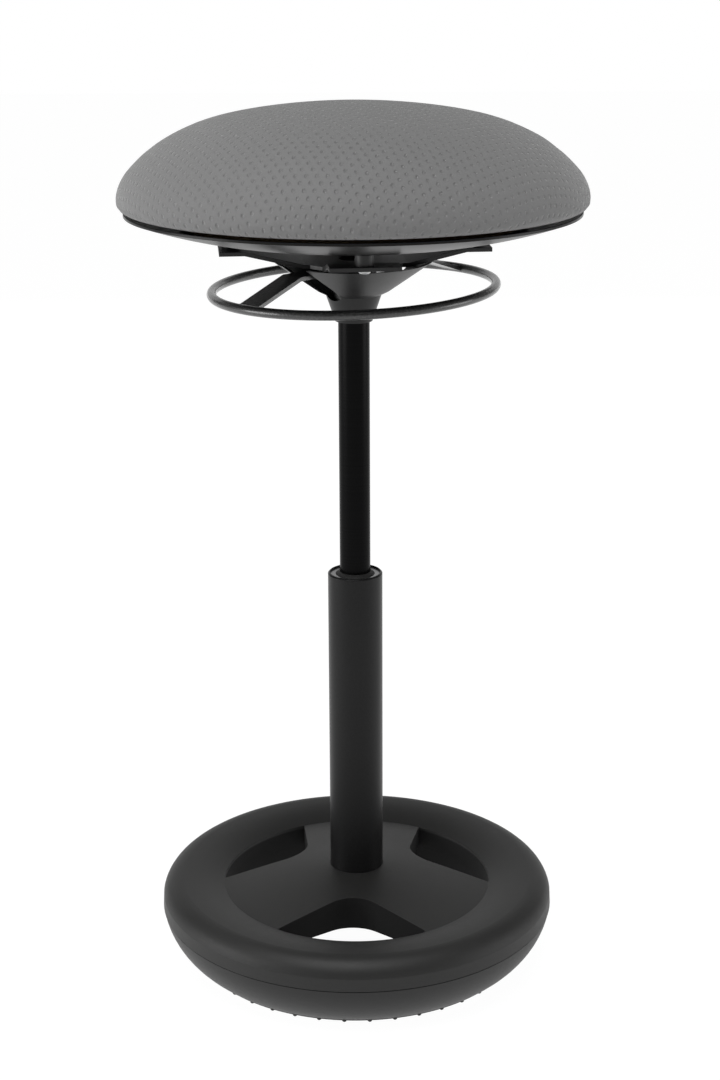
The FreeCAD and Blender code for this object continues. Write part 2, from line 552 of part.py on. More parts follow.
socket_top = "(hub_z + bracket_t)"
socket_low = "(%s - socket_len)" % socket_top
taper_wide = "tube_r + 0.03"
socket_blank = revolution("socket_blank", [
    (taper_wide, socket_low), ("socket_r", socket_low), ("socket_r", socket_top),
    ("tube_r - taper_drop + 0.03", socket_top), ("tube_r - taper_drop + 0.03", "tube_top_z"),
    (taper_wide, taper_low)])
window = doc.addObject("Part::Box", "bar_window")
window.setExpression(".Length", bound("socket_r*4"))
window.setExpression(".Width", bound("bar_w + 4"))
window.setExpression(".Height", bound("hub_z - tube_top_z"))
bar_way = FreeCAD.Rotation(V(0, 0, 1), value("bar_turn"))
window.Placement = FreeCAD.Placement(
    bar_way.multVec(V(-2 * value("socket_r"), -value("bar_w")/2 - 2, 0)) + V(0, 0, value("tube_top_z")), bar_way)
keep("taper_socket", cut("taper_socket", socket_blank, window))

# Funnel cover, clipped under the cross, with a long slot on each side for the bar

funnel_blank = revolution("funnel_blank", [
    ("tube_r + soft_gap", "funnel_low_z"), ("funnel_low_r", "funnel_low_z"), ("funnel_neck_r", "funnel_neck_z"),
    ("funnel_neck_r + funnel_bead", "funnel_neck_z + 0.3"),
    ("funnel_bulge_r", "funnel_neck_z + funnel_bulge_h"),
    ("funnel_top_r", "funnel_top_z"), ("funnel_top_r - funnel_wall*1.3", "funnel_top_z"),
    ("funnel_bulge_r - funnel_wall*0.9", "funnel_neck_z + funnel_bulge_h + funnel_wall*0.8"),
    ("funnel_neck_r - funnel_wall", "funnel_neck_z + 0.3"), ("tube_r + soft_gap", "funnel_low_z + funnel_wall*1.2")])
slot_box = doc.addObject("Part::Box", "slot_box")
slot_box.setExpression(".Length", bound("funnel_top_r*4"))
slot_box.setExpression(".Width", bound("slot_w"))
slot_box.setExpression(".Height", bound("hub_z + 20 - slot_low_z"))
slot_centre_z = value("slot_low_z + slot_w*0.3")
slot_box.Placement = FreeCAD.Placement(
    bar_way.multVec(V(-2 * value("funnel_top_r"), -value("slot_w")/2, 0)) + V(0, 0, slot_centre_z), bar_way)
slot_round = doc.addObject("Part::Cylinder", "slot_round")
slot_round.setExpression(".Radius", bound("slot_w/2"))
slot_round.setExpression(".Height", bound("funnel_top_r*4"))
slot_round.Placement = FreeCAD.Placement(
    bar_way.multVec(V(-2 * value("funnel_top_r"), 0, 0)) + V(0, 0, slot_centre_z),
    bar_way * FreeCAD.Rotation(V(0, 1, 0), 90))
keep("funnel_cover", cut("funnel_cover", funnel_blank, join("slot_tools", [slot_box, slot_round])))

# Seat: every piece is turned first and then drawn in from front to back into an oval


def oval(name, turned):
    part = doc.addObject("Part::Scale", name)
    part.Base = turned
    part.Uniform = False
    part.XScale = 1.0
    part.setExpression(".YScale", bound("seat_depth_share"))
    part.ZScale = 1.0
    return part


carrier_top = "(hub_z + arm_rise + bracket_t + spacer_h)"
rim_z = "(%s + pan_depth)" % carrier_top
lip_z = "(%s + pan_lip)" % rim_z
pan_floor = "(%s + pan_wall)" % carrier_top
bolt_holes = posts("seat_bolt_ways", "seat_bolt_r + slip_gap", carrier_top + " - 1", "pan_wall + 2",
                   "seat_bolt_ring_r", "4", "bracket_turn")
pan_blank = revolution("pan_blank", [
    ("0", carrier_top), ("pan_flat_r", carrier_top, "pan_curve_r"), ("pan_r", rim_z), ("pan_r", lip_z),
    ("pan_r - pan_wall*0.6", lip_z), ("pan_r - pan_wall*1.2", rim_z + " + pan_wall*0.4", "-(pan_curve_r - pan_wall)"),
    ("pan_flat_r", pan_floor), ("0", pan_floor)])
pan_screw_holes = posts("pan_screw_holes", "pan_screw_r + slip_gap/2", carrier_top + " - 1",
                        "pan_wall + pan_screw_grip + 2",
                        "pan_screw_ring_r", "4", "bracket_turn + 45")
keep("seat_pan", cut("seat_pan", oval("pan_oval", pan_blank), join("pan_holes", [bolt_holes, pan_screw_holes])))

board_low = "(%s + slip_gap)" % pan_floor
board_top = "(%s + board_t)" % board_low
board_blank = revolution("board_blank", [
    ("0", board_low), ("board_r - board_bevel", board_low), ("board_r", board_low + " + board_bevel_h"),
    ("board_r", board_top), ("0", board_top)])
nut_seat = "(%s - nut_flange_t)" % board_top
board_holes = join("board_holes", [
    posts("nut_ways", "nut_r + slip_gap/4", board_low + " - 1", "board_t + 2", "seat_bolt_ring_r", "4",
          "bracket_turn"),
    posts("nut_seats", "nut_flange_r + slip_gap", nut_seat, "nut_flange_t + 1", "seat_bolt_ring_r", "4",
          "bracket_turn"),
    pan_screw_holes])
keep("seat_board", cut("seat_board", oval("board_oval", board_blank), board_holes))

wide_z = "(%s + cushion_lift)" % lip_z


def dome_corners(skin):
    """Right half of the crowned cushion, skin inside its outer face, from the drawn-in edge up."""
    radius = "(cushion_r - (%s))" % skin
    return [
        ("tuck_r - (%s)" % skin, "%s - cushion_lift + 0.4 + (%s)*0.5" % (wide_z, skin), "tuck_curve_r"),
        (radius, wide_z, "side_arc_r - (%s)" % skin),
        ("flank_r - (%s)*0.78" % skin, "%s + flank_h - (%s)*0.62" % (wide_z, skin), "flank_curve_r - (%s)" % skin),
        ("shoulder_r - (%s)*0.5" % skin, "%s + shoulder_h - (%s)*0.85" % (wide_z, skin),
         "shoulder_curve_r - (%s)" % skin),
        ("top_arc_r - (%s)*0.2" % skin, "%s + top_arc_h - (%s)*0.97" % (wide_z, skin),
         "((top_arc_r - (%s)*0.2)^2 + (dome_h - top_arc_h - (%s)*0.03)^2)/(2*(dome_h - top_arc_h - (%s)*0.03))"
         % (skin, skin, skin)),
        ("0", "%s + dome_h - (%s)" % (wide_z, skin))]


foam_skin = "cover_t + soft_gap"
foam_blank = revolution("foam_blank", [("0", board_top + " + soft_gap"), ("board_r + 12", board_top + " + soft_gap")]
                        + dome_corners(foam_skin))
keep("seat_foam", oval("seat_foam", foam_blank))
cover_inside = revolution("cover_inside", [
    ("0", lip_z + " - 20"), ("tuck_r - cover_hem", lip_z + " - 20")] + dome_corners("cover_t"))
cover_outside = revolution("cover_outside", [
    ("0", lip_z + " + 0.4"), ("tuck_r - cover_hem", lip_z + " + 0.4")] + dome_corners("0"))
keep("seat_cover", oval("seat_cover", cut("cover_shell", cover_outside, cover_inside)))

# Fasteners of the seat: bolts up through the cross into tee nuts in the board, screws that hold the pan

arm_top = "(hub_z + arm_rise + bracket_t)"
bolt_low = "(hub_z + arm_rise)"
ring_of("seat_spacers", washer_corners("seat_bolt_r + slip_gap", "spacer_r", arm_top, carrier_top + " - running_gap"),
        "seat_bolt_ring_r", "4", "bracket_turn")
ring_of("tee_nuts", [
    ("seat_bolt_r + slip_gap/4", board_low + " + nut_gap"), ("nut_r", board_low + " + nut_gap"),
    ("nut_r", nut_seat), ("nut_flange_r", nut_seat), ("nut_flange_r", board_top),
    ("seat_bolt_r + slip_gap/4", board_top)], "seat_bolt_ring_r", "4", "bracket_turn")
ring_of("seat_bolts", [
    ("0", bolt_low + " - seat_bolt_r*1.1"), ("seat_bolt_r*1.4", bolt_low + " - seat_bolt_r*1.1"),
    ("seat_bolt_r*1.8", bolt_low + " - seat_bolt_r*0.5"), ("seat_bolt_r*1.8", bolt_low), ("seat_bolt_r", bolt_low),
    ("seat_bolt_r", board_top + " - 0.5"), ("0", board_top + " - 0.5")], "seat_bolt_ring_r", "4", "bracket_turn")
ring_of("pan_screws", [
    ("0", carrier_top + " - pan_screw_r*0.9"), ("pan_screw_r*1.3", carrier_top + " - pan_screw_r*0.9"),
    ("pan_screw_r*1.8", carrier_top + " - pan_screw_r*0.3"), ("pan_screw_r*1.8", carrier_top),
    ("pan_screw_r", carrier_top), ("pan_screw_r", pan_floor + " + pan_screw_grip"),
    ("0", pan_floor + " + pan_screw_grip")],
    "pan_screw_ring_r", "4", "bracket_turn + 45")

doc.recompute()
for thing in doc.Objects:
    if {"Invalid", "Error"} & set(thing.State):
        raise RuntimeError("%s failed: %s" % (thing.Label, thing.State))
for node in NODES:
    if node.Shape.isNull() or not node.Shape.isValid() or not node.Shape.Solids:
        raise RuntimeError("%s has no valid solid" % node.Label)
os.makedirs("parts", exist_ok=True)
for node in NODES:
    node.Shape.exportStep("parts/%s.step" % node.Label)
    box = node.Shape.optimalBoundingBox()
    print("%-20s %2d solids %9.2f cm3  z %7.2f to %7.2f  x %7.2f to %7.2f" % (
        node.Label, len(node.Shape.Solids), node.Shape.Volume / 1000, box.ZMin, box.ZMax, box.XMin, box.XMax))
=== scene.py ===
import math
import bpy
from mathutils import Matrix, Vector


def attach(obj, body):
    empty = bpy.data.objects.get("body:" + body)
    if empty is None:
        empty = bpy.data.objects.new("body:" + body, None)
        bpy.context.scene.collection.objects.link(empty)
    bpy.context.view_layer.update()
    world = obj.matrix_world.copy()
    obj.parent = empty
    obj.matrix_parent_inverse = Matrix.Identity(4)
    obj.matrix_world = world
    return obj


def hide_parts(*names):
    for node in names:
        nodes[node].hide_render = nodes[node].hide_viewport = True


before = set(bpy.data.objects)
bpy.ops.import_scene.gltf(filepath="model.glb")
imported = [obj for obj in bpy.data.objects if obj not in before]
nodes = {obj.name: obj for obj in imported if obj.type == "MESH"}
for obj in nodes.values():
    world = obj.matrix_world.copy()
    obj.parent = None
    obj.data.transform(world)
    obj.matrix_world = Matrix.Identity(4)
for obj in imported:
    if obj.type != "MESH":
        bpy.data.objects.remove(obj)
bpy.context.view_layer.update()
edit, to_mode = bpy.ops.mesh, bpy.ops.object.mode_set
bpy.ops.object.select_all(action="DESELECT")

# Studio: a plain white floor with soft boxes on both sides and overhead, and a bright room
# all round, as in a catalogue shot. The camera stands 1.8 m in front, looking 17.5 degrees down.

bpy.ops.mesh.primitive_plane_add(size=14, location=(0, 2, -0.0005))
floor = bpy.context.object
floor.name = "studio_floor"
floor_paint = bpy.data.materials.new("floor_paint")
floor_paint.use_nodes = True
floor_shader = floor_paint.node_tree.nodes["Principled BSDF"]
for setting, value in (("Base Color", (0.06, 0.06, 0.06, 1)), ("Roughness", 0.9),
                       ("Emission Color", (1, 1, 1, 1)), ("Emission Strength", 0.97)):
    floor_shader.inputs[setting].default_value = value
floor.data.materials.append(floor_paint)

room = bpy.data.worlds.new("bright_room")
bpy.context.scene.world = room
room.use_nodes = True
as_light, as_seen = 0.16, 1.0
walls = room.node_tree.nodes["Background"]
walls.inputs["Color"].default_value = (1, 1, 1, 1)
seen = room.node_tree.nodes.new("ShaderNodeLightPath")
white = room.node_tree.nodes.new("ShaderNodeMapRange")
white.inputs["To Min"].default_value, white.inputs["To Max"].default_value = as_light, as_seen
room.node_tree.links.new(seen.outputs["Is Camera Ray"], white.inputs["Value"])
room.node_tree.links.new(white.outputs["Result"], walls.inputs["Strength"])
bpy.context.scene.view_settings.view_transform = "Standard"

for name, place, aim, width, height, power in (
        ("soft_box_left", (-1.7, -0.5, 0.6), (0, 0, 0.15), 1.0, 0.8, 14),
        ("soft_box_right", (1.7, -0.2, 0.5), (0, 0, 0.15), 0.9, 0.7, 6),
        ("soft_box_above", (-0.25, -0.9, 2.8), (0, 0, 0.5), 1.8, 1.8, 52),
        ("soft_wall_behind", (0, 3.2, 1.3), (0, 0, 0.9), 5.5, 2.2, 26)):
    bpy.ops.object.light_add(type="AREA", location=place)
    lamp = bpy.context.object
    lamp.name = name
    lamp.data.shape = "RECTANGLE"
    lamp.data.size, lamp.data.size_y = width, height
    lamp.data.energy = power
    lamp.rotation_mode = "QUATERNION"
    lamp.rotation_quaternion = (Vector(aim) - Vector(place)).to_track_quat("-Z", "Y")

camera_down = 0.305036
camera_roll = -0.004475
bpy.ops.object.camera_add()
camera = bpy.context.object
camera.name = "front_camera"
camera.data.lens = 68.33
camera.data.sensor_width = 36
camera.matrix_world = (Matrix.Translation((0.00456, -1.78565, 0.97262))
                       @ Matrix.Rotation(math.pi / 2 - camera_down, 4, "X")
                       @ Matrix.Rotation(camera_roll, 4, "Z"))
bpy.context.scene.camera = camera

# Foot shells: two halves moulded in black plastic with a fine spark-eroded grain. They meet in a
# seam below the crown, and the lower one carries the rounded sole on which the stool rocks.


class Tone:
    """A value inside a finish. Sums, products and powers of tones add the nodes that work them out."""

    def __init__(self, socket):
        self.socket = socket

    def node(self, kind, settings=None, output=0, **inputs):
        """One more node of that kind; inputs are given as i0, i1 and so on, or by the socket's name."""
        made = self.socket.id_data.nodes.new("ShaderNode" + kind)
        for key, value in (settings or {}).items():
            if key == "stops":
                ramp = made.color_ramp
                while len(ramp.elements) < len(value):
                    ramp.elements.new(0.5)
                for element, (place, grey) in zip(ramp.elements, value):
                    element.position = place
                    element.color = grey if isinstance(grey, tuple) else (grey, grey, grey, 1)
            else:
                setattr(made, key, value)
        for key, value in inputs.items():
            number = key[1:].isdigit() and key[0] == "i"
            target = made.inputs[int(key[1:])] if number else made.inputs[key.replace("_", " ")]
            if isinstance(value, Tone):
                self.socket.id_data.links.new(value.socket, target)
            else:
                target.default_value = value
        return Tone(made.outputs[output])

    def math(self, operation, *others, **settings):
        inputs = {"i%d" % n: v for n, v in enumerate((self,) + others)}
        return self.node("Math", dict(operation=operation, **settings), **inputs)

    def __add__(self, other): return self.math("ADD", other)
    def __mul__(self, other): return self.math("MULTIPLY", other)
    def __sub__(self, other): return self.math("SUBTRACT", other)
    def __truediv__(self, other): return self.math("DIVIDE", other)
    def __pow__(self, other): return self.math("POWER", other)
    def __rsub__(self, other): return (self * -1).math("ADD", other)
    __radd__, __rmul__ = __add__, __mul__

    def between(self, low, high):
        """0 below low, 1 above high, with a smooth rise."""
        return self.node("MapRange", {"interpolation_type": "SMOOTHSTEP"}, i0=self, i1=low, i2=high)

    def noise(self, scale, detail=2.0, rough=0.5):
        """Cloudy noise on this position, around a half."""
        return self.node("TexNoise", Vector=self, Scale=scale, Detail=detail, Roughness=rough)

    def spots(self, scale, feature="F1"):
        """Distance to the nearest of many scattered points."""
        return self.node("TexVoronoi", {"feature": feature}, Vector=self, Scale=scale)

    def colours(self, dark, light):
        """A colour between two, by this value."""
        return self.node("Mix", {"data_type": "RGBA"}, output=2, i0=self, i6=dark + (1,), i7=light + (1,))

    def part(self, axis):
        return self.node("SeparateXYZ", output="XYZ".index(axis), i0=self)


class Finish:
    """A material with one main shader. place is the position on the object, in metres."""

    def __init__(self, name, **fixed):
        self.material = bpy.data.materials.new(name)
        self.material.use_nodes = True
        self.tree = self.material.node_tree
        self.shader = self.tree.nodes["Principled BSDF"]
        for key, value in fixed.items():
            self.shader.inputs[key.replace("_", " ")].default_value = value
        self.place = Tone(self.tree.nodes.new("ShaderNodeTexCoord").outputs["Object"])

    def paint(self, colour=None, roughness=None, height=None, depth=0.0001, edge=0.0):
        """Joins colour, roughness and relief to the shader. depth is the relief's height in metres, and
        edge the radius that every sharp edge looks rounded to."""
        for key, tone in (("Base Color", colour), ("Roughness", roughness)):
            if tone is not None:
                self.tree.links.new(tone.socket, self.shader.inputs[key])
        normal = self.place.node("Bevel", {"samples": 4}, Radius=edge) if edge else None
        if height is not None:
            inputs = {"Normal": normal} if normal else {}
            normal = self.place.node("Bump", Height=height, Distance=depth, Strength=1.0, **inputs)
        if normal:
            self.tree.links.new(normal.socket, self.shader.inputs["Normal"])

    def wear(self, *names):
        """Puts the finish on CAD parts by name."""
        for name in names:
            part = nodes[name]
            part.data.materials.clear()
            part.data.materials.append(self.material)


def grained_plastic_and_painted_shade(name, dark, light, rough, edge, wall_r, wall_z):
    """Moulded plastic with a fine grain: tiny pits, faint clouds of colour and of gloss. The walls
    of the openings get painted shade, a near-black colour, and are dull: what is upright on the web,
    or under wall_z and nearer to the middle than wall_r."""
    web_r = 0.1235
    shade = (0.002, 0.002, 0.002, 1)
    made = Finish(name, Specular_IOR_Level=0.4)
    out = (made.place.part("X") ** 2 + made.place.part("Y") ** 2).math("SQRT")
    under = 1 - made.place.part("Z").between(wall_z - 0.003, wall_z)
    low = (1 - out.between(wall_r, wall_r + 0.0008)) * under
    slope = made.place.node("NewGeometry", output=1).part("Z").math("ABSOLUTE")
    upright = (1 - out.between(web_r, web_r + 0.0015)) * (1 - slope.between(0.2, 0.5))
    inside = 1 - (1 - low) * (1 - upright)
    clouds = made.place.noise(9, 3)
    pits = made.place.spots(1500).between(0.15, 0.6)
    grain = pits * 0.7 + made.place.noise(900, 3, 0.7) * 0.6
    surface = (clouds * 0.7 + grain * 0.35).between(0.25, 0.95).colours(dark, light)
    # Painted shade: inside mixes the near-black shade colour into the walls of the openings.
    made.paint(colour=inside.node("Mix", {"data_type": "RGBA"}, output=2, i0=inside, i6=surface, i7=shade),
               roughness=rough + (clouds - 0.5) * 0.12 - (grain - 0.6) * 0.10 + inside * 0.4,
               height=grain, depth=0.00007, edge=edge)
    return made


grained_plastic_and_painted_shade("upper_shell_grain_and_painted_shade", (0.010, 0.010, 0.0097), (0.017, 0.017, 0.0165), 0.54, 0.0006,
                0.1340, 0.0690).wear("upper_shell")
# Painted shade: the lower shell is the same plastic, but its colour is painted about half as light as the
# upper shell's, for the shaded underside of the foot.
grained_plastic_and_painted_shade("lower_shell_grain_and_painted_shade", (0.005, 0.005, 0.0048), (0.009, 0.009, 0.0087), 0.52, 0.0006,
                0.1290, 0.0600).wear("lower_shell")

# Tread and soft rings: black rubber. The tread is a strip with round nubs under the sole, and the
# same rubber makes the damper, the piston's seal and the two seals of the lift.

rubber = Finish("black_rubber")
scuffs = rubber.place.noise(60, 4, 0.65)
dust = rubber.place.noise(14, 2)
rubber.paint(colour=(scuffs * dust * 2).between(0.35, 0.9).colours(
    (0.014, 0.014, 0.014), (0.030, 0.029, 0.028)), roughness=0.68 + (scuffs - 0.5) * 0.2,
    height=rubber.place.noise(1200, 2) + scuffs, depth=0.00005, edge=0.0005)
rubber.wear("tread_ring", "damper_ring", "piston_seal", "rod_seal", "wiper_ring")

# Weight: a cast-iron ring in the trough of the foot, as it comes from the sand, in dull grey paint.

iron = Finish("cast_iron", Metallic=0.6)
sand = iron.place.noise(350, 4, 0.7)
iron.paint(colour=(sand * 0.6 + iron.place.noise(25, 3) * 0.5).between(0.3, 0.8).colours(
    (0.035, 0.035, 0.037), (0.085, 0.083, 0.082)), roughness=0.62 + (sand - 0.5) * 0.3,
    height=sand, depth=0.0003, edge=0.001)
iron.wear("weight_ring")

# Plates, washers, clips and all screws: steel with a bright zinc skin, slightly blotchy.

zinc = Finish("zinc_plate", Metallic=0.95)
spangle = zinc.place.spots(220)
brushed = zinc.place.noise(1500, 2)
zinc.paint(colour=(spangle * 0.8 + brushed * 0.3).between(0.2, 0.9).colours(
    (0.40, 0.41, 0.43), (0.60, 0.60, 0.58)), roughness=0.34 + spangle * 0.12,
    height=brushed, depth=0.00002, edge=0.0004)
zinc.wear("end_plate", "tee_nuts", "rod_clip", "flange_screws", "weight_screws",
          "shell_screws_left", "shell_screws_right", "seat_bolts", "pan_screws")

# Outer column: a steel tube, powder coated in satin black with a very fine orange peel. Its mouth
# holds a smooth grey bush and a rubber wiper.

column = Finish("column_powder", Specular_IOR_Level=0.18)
peel = column.place.noise(520, 3, 0.6)
column.paint(colour=(peel * 0.5 + column.place.noise(8, 2) * 0.5).between(0.3, 0.7).colours(
    (0.007, 0.007, 0.0072), (0.011, 0.011, 0.0112)), roughness=0.36 + (peel - 0.5) * 0.12,
    height=peel, depth=0.00005, edge=0.0008)
column.wear("outer_column", "base_spider", "column_flange")

bush = Finish("grey_bush", Coat_Weight=0.5, Coat_Roughness=0.12)
turned = (bush.place.part("Z") * 9000).math("SINE")
bush.paint(colour=bush.place.noise(40, 2).colours((0.060, 0.061, 0.064), (0.090, 0.091, 0.094)),
           roughness=0.26 + bush.place.noise(90, 2) * 0.08, height=turned, depth=0.00001, edge=0.0004)
bush.wear("guide_bush", "rod_guide")

# Bearing in the foot of the column: ground steel races and balls in a pressed brass cage, and the
# chromed rod that hangs in it.

ground = Finish("ground_steel", Metallic=1.0)
scratch = ground.place.noise(2500, 2)
ground.paint(colour=scratch.colours((0.55, 0.56, 0.58), (0.68, 0.68, 0.69)),
             roughness=0.14 + scratch * 0.12, height=scratch, depth=0.000005, edge=0.0003)
ground.wear("lower_race", "upper_race", "bearing_balls", "piston_rod", "piston", "valve_body",
            "pressure_tube")

brass = Finish("cage_brass", Metallic=1.0)
tarnish = brass.place.noise(160, 3)
brass.paint(colour=tarnish.between(0.3, 0.7).colours((0.42, 0.28, 0.10), (0.62, 0.44, 0.18)),
            roughness=0.25 + tarnish * 0.2, height=tarnish, depth=0.00001, edge=0.0002)
brass.wear("ball_cage")

# Lift tube: drawn steel in glossy black paint, with hair-fine rings that the wiper leaves. The pin
# in its top is pressed by the lever.

lift = Finish("lift_paint", Specular_IOR_Level=0.04)
flattened = lift.place.node("Mapping", {"vector_type": "POINT"}, Vector=lift.place, Scale=(2, 2, 700))
rings = flattened.noise(1.0, 3)
lift.paint(colour=rings.between(0.3, 0.7).colours((0.0030, 0.0030, 0.0031), (0.0050, 0.0050, 0.0052)),
           roughness=0.24 + (rings - 0.5) * 0.10, height=rings, depth=0.000006, edge=0.0006)
lift.wear("piston_tube", "release_button")

# Lever: a ring bent from 8 mm rod with a flat bar welded across it, in hammered black powder coat.

hammered = Finish("hammered_powder", Coat_Weight=0.6, Coat_Roughness=0.16)
dents = hammered.place.node("TexVoronoi", {"feature": "SMOOTH_F1"}, Vector=hammered.place, Scale=620.0,
                            Smoothness=0.6)
flecks = hammered.place.noise(2400, 2).between(0.62, 0.72)
hammered.paint(colour=(dents * 0.6 + flecks * 0.7).between(0.1, 0.9).colours(
    (0.010, 0.010, 0.010), (0.055, 0.055, 0.054)), roughness=0.34 - flecks * 0.1 + dents * 0.1,
    height=dents, depth=0.00022, edge=0.0008)
hammered.wear("release_ring", "release_bar")

# Seat carrier: a pressed steel cross in flat black, with the machined socket for the lift's taper.

pressed = Finish("pressed_black")
skin = pressed.place.noise(700, 3, 0.6)
pressed.paint(colour=skin.between(0.3, 0.7).colours((0.007, 0.007, 0.007), (0.012, 0.012, 0.012)),
              roughness=0.48 + (skin - 0.5) * 0.2, height=skin, depth=0.00005, edge=0.0008)
pressed.wear("seat_bracket", "taper_socket", "seat_spacers")

# Funnel cover: dark grey polypropylene, satin, with the mould's vertical polish showing faintly.

funnel = Finish("funnel_plastic", Specular_IOR_Level=0.3)
haze = funnel.place.noise(30, 3)
fine = funnel.place.noise(1400, 2)
funnel.paint(colour=(haze * 0.6 + fine * 0.4).between(0.3, 0.7).colours(
    (0.007, 0.007, 0.0071), (0.011, 0.011, 0.0111)), roughness=0.40 + (haze - 0.5) * 0.14,
    height=fine, depth=0.00003, edge=0.0007)
funnel.wear("funnel_cover")

# Seat pan: a black plastic dish with a satin skin and a polished rim. The plywood board inside it
# carries the foam.

pan = Finish("pan_satin", Specular_IOR_Level=0.13, Coat_Weight=0.03, Coat_Roughness=0.2)
sheen = pan.place.noise(6, 2)
tooth = pan.place.noise(1100, 2)
pan.paint(colour=(sheen * 0.6 + tooth * 0.4).between(0.3, 0.7).colours(
    (0.006, 0.006, 0.0061), (0.010, 0.010, 0.0101)),
    roughness=0.33 + (sheen - 0.5) * 0.12 + (tooth - 0.5) * 0.06,
    height=tooth, depth=0.00003, edge=0.0007)
pan.wear("seat_pan")

plywood = Finish("birch_plywood")
layers = (plywood.place.part("Z") * 4500).math("SINE").between(-0.2, 0.2)
drawn_out = plywood.place.node("Mapping", {"vector_type": "POINT"}, Vector=plywood.place,
                               Scale=(6, 90, 90))
fibres = drawn_out.noise(2, 4)
plywood.paint(colour=(layers * 0.35 + fibres * 0.65).between(0.25, 0.75).colours(
    (0.33, 0.20, 0.10), (0.62, 0.45, 0.28)), roughness=0.55 + fibres * 0.2,
    height=fibres, depth=0.0001, edge=0.0008)
plywood.wear("seat_board")

# Bolts and screws under the seat: button heads with a hexagon socket, zinc plated. Four bolts hold
# the cross to the board, and four smaller screws hold the pan.

made_heads = []
for node, count, ring, first, shank, base, top in (
        ("seat_bolts", 4, 0.107, 5, 0.0030, 0.6775, 0.7022),
        ("pan_screws", 4, 0.062, 50, 0.0022, 0.6905, 0.7015)):
    head, rise = shank * 1.8, shank * 1.1
    bpy.ops.object.select_all(action="DESELECT")
    bpy.ops.mesh.primitive_cylinder_add(vertices=48, radius=shank, depth=top - base,
                                        location=(0, 0, (top + base) / 2))
    screw = bpy.context.object
    bpy.ops.object.transform_apply()
    to_mode(mode="EDIT")
    edit.select_all(action="DESELECT")
    to_mode(mode="OBJECT")
    for face in screw.data.polygons:
        face.select = face.normal.z < -0.5
    to_mode(mode="EDIT")
    for depth, size in ((0, head / shank), (-rise * 0.35, 1.0), (-rise * 0.35, 0.90),
                        (-rise * 0.22, 0.80), (-rise * 0.08, 0.78), (0, 0.86)):
        edit.extrude_region_move(TRANSFORM_OT_translate={"value": (0, 0, depth)})
        bpy.ops.transform.resize(value=(size, size, 1), center_override=(0, 0, 0))
    edit.extrude_region_move(TRANSFORM_OT_translate={"value": (0, 0, rise * 0.62)})
    bpy.ops.transform.resize(value=(0.93, 0.93, 1), center_override=(0, 0, 0))
    to_mode(mode="OBJECT")
    inside = [v for f in screw.data.polygons if f.select for v in f.vertices]
    for i in set(inside):
        co = screw.data.vertices[i].co
        turn = (math.atan2(co.y, co.x) + math.pi / 6) % (math.pi / 3) - math.pi / 6
        reach = head * 0.46 / math.cos(turn)
        flat = Vector((co.x, co.y)).normalized() * reach
        co.x, co.y = flat
    screw.name = node + "_1"
    screw.data.materials.append(nodes[node].material_slots[0].material)
    for i in range(count):
        turn = math.radians(first + 90 * i)
        copy = screw if i == count - 1 else screw.copy()
        if copy is not screw:
            copy.data = screw.data.copy()
            bpy.context.collection.objects.link(copy)
        copy.name = "%s_%d" % (node, i + 1)
        copy.data.transform(Matrix.Translation((ring * math.cos(turn), ring * math.sin(turn), 0)))
        copy.data.shade_smooth()
        made_heads.append(copy)
        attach(copy, "lift")
    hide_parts(node)
bpy.ops.object.select_all(action="DESELECT")
for head in made_heads:
    head.select_set(True)
bpy.context.view_layer.objects.active = made_heads[0]
bpy.ops.object.shade_smooth_by_angle(angle=math.radians(35))

# Weld beads: a rippled bead where the socket goes through the hub of the cross, and one at each
# end of the lever's bar, under the same coats as the parts they join.

bpy.ops.object.select_all(action="DESELECT")
bpy.ops.mesh.primitive_torus_add(major_radius=0.0183, minor_radius=0.0016, major_segments=120,
                                 minor_segments=12, location=(0, 0, 0.6655))
bead = bpy.context.object
bead.name = "socket_weld"
bpy.ops.object.transform_apply()
for vertex in bead.data.vertices:
    turn = math.atan2(vertex.co.y, vertex.co.x)
    ripple = 1 + 0.014 * abs(math.sin(turn * 22)) + 0.006 * math.sin(turn * 5)
    vertex.co.x *= ripple
    vertex.co.y *= ripple
bead.data.shade_smooth()
bead.data.materials.append(pressed.material)
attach(bead, "lift")

ring_z, ring_lean, bar_turn = 0.6433, math.radians(-1.9), math.radians(42)
ring_inner_r = 0.1215
for number, side in enumerate((1, -1), 1):
    bpy.ops.object.select_all(action="DESELECT")
    bpy.ops.mesh.primitive_cylinder_add(vertices=16, radius=0.0019, depth=0.0225, location=(0, 0, 0),
                                        rotation=(math.pi / 2, 0, 0))
    bead = bpy.context.object
    bead.name = "bar_weld_%d" % number
    bpy.ops.object.transform_apply()
    to_mode(mode="EDIT")
    edit.select_all(action="SELECT")
    edit.bevel(offset=0.0015, segments=3, affect="EDGES")
    edit.subdivide(number_cuts=5)
    to_mode(mode="OBJECT")
    for vertex in bead.data.vertices:
        co = vertex.co
        bulge = 1 + 0.22 * abs(math.sin(co.y * math.pi / 0.0022))
        co.x, co.z = co.x * bulge, co.z * bulge * 0.8
        co.x -= co.y ** 2 / (2 * ring_inner_r)
    bead.data.transform(Matrix.Translation((0, 0, ring_z)) @ Matrix.Rotation(ring_lean, 4, "Y")
                        @ Matrix.Rotation(bar_turn + (0 if side > 0 else math.pi), 4, "Z")
                        @ Matrix.Translation((0.1207, 0, 0.0013)))
    bead.data.shade_smooth()
    bead.data.materials.append(hammered.material)
    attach(bead, "lever")

# Cushion: a thick foam dome under a grey spacer knit with staggered dimples, stretched over the
# edge of the board and tucked in behind the pan's rim. It is wider than it is deep.

